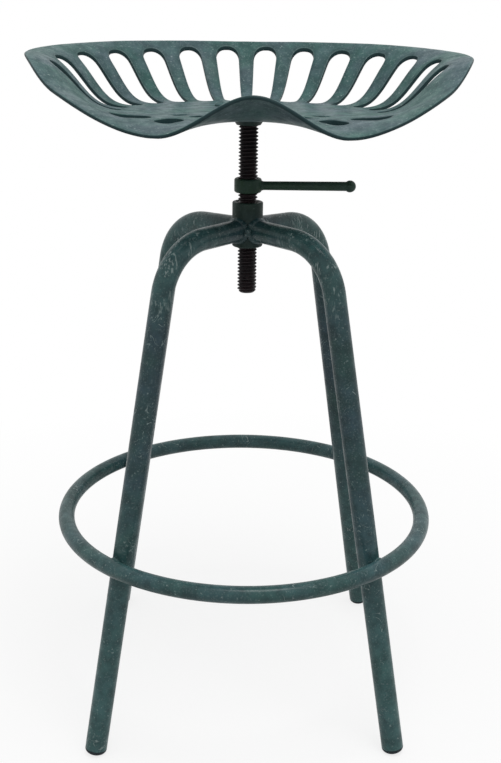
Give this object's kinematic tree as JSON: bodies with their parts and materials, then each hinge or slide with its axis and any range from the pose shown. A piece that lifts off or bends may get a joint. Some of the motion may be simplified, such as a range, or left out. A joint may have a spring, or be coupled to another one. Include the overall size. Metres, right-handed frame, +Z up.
{
  "type": "tractor seat stool",
  "caption": "Height-adjustable bar stool with a slotted metal tractor seat on a lead screw, bent tube legs and a round foot ring.",
  "frame": {"origin": "on the floor, directly under the axis of the lead screw, midway between the four feet", "axes": "+Z up along the lead screw, -Y towards the raised front point of the seat, +X towards the lock nut's handle"},
  "size_m": [0.482, 0.455, 0.7801],
  "materials": {
    "seat_paint": "satin blue-green paint with fine pale speckles, worn darker at the edges",
    "frame_paint": "satin dark blue-green paint with fine pale speckles and scratches",
    "nut_paint": "plain dark green satin paint",
    "black_screw": "blackened oiled steel",
    "plug_rubber": "matt dark rubber"
  },
  "bodies": {
    "frame": {"hub_sleeve": "frame_paint", "hub_weld_upper": "frame_paint", "hub_weld_lower": "frame_paint", "leg_front_left": "frame_paint", "leg_front_right": "frame_paint", "leg_rear_right": "frame_paint", "leg_rear_left": "frame_paint", "foot_ring": "frame_paint", "ring_weld_front_left": "frame_paint", "ring_weld_front_right": "frame_paint", "ring_weld_rear_right": "frame_paint", "ring_weld_rear_left": "frame_paint", "foot_plug_front_left": "plug_rubber", "foot_plug_front_right": "plug_rubber", "foot_plug_rear_right": "plug_rubber", "foot_plug_rear_left": "plug_rubber"},
    "seat_carrier": {"screw_boss": "frame_paint"},
    "seat": {"seat_pan": "seat_paint", "mounting_plate": "frame_paint", "lead_screw": "black_screw", "seat_bolt_1": "seat_paint", "seat_bolt_2": "seat_paint", "seat_bolt_3": "seat_paint", "seat_bolt_4": "seat_paint"},
    "nut_carrier": {"lock_nut": "nut_paint"},
    "nut_handle": {"lock_handle": "nut_paint", "handle_ball": "nut_paint"}
  },
  "joints": [
    {"name": "seat_rise", "type": "slide", "parent": "frame", "child": "seat_carrier", "axis": [0, 0, 1], "range_m": [-0.0501, 0.0501]},
    {"name": "seat_turn", "type": "hinge", "parent": "seat_carrier", "child": "seat", "pos_m": [0, 0, 0.7], "axis": [0, 0, 1], "range_deg": [-4500, 4500]},
    {"name": "nut_rise", "type": "slide", "parent": "frame", "child": "nut_carrier", "axis": [0, 0, 1], "range_m": [-0.0101, 0.0041]},
    {"name": "nut_turn", "type": "hinge", "parent": "nut_carrier", "child": "nut_handle", "pos_m": [0, 0, 0.63], "axis": [0, 0, 1], "range_deg": [-900, 360]}
  ],
  "couplings": [
    {"joint": "seat_rise", "follows": "seat_turn", "m_per_rad": 0.00063662},
    {"joint": "nut_rise", "follows": "nut_turn", "m_per_rad": 0.00063662}
  ]
}
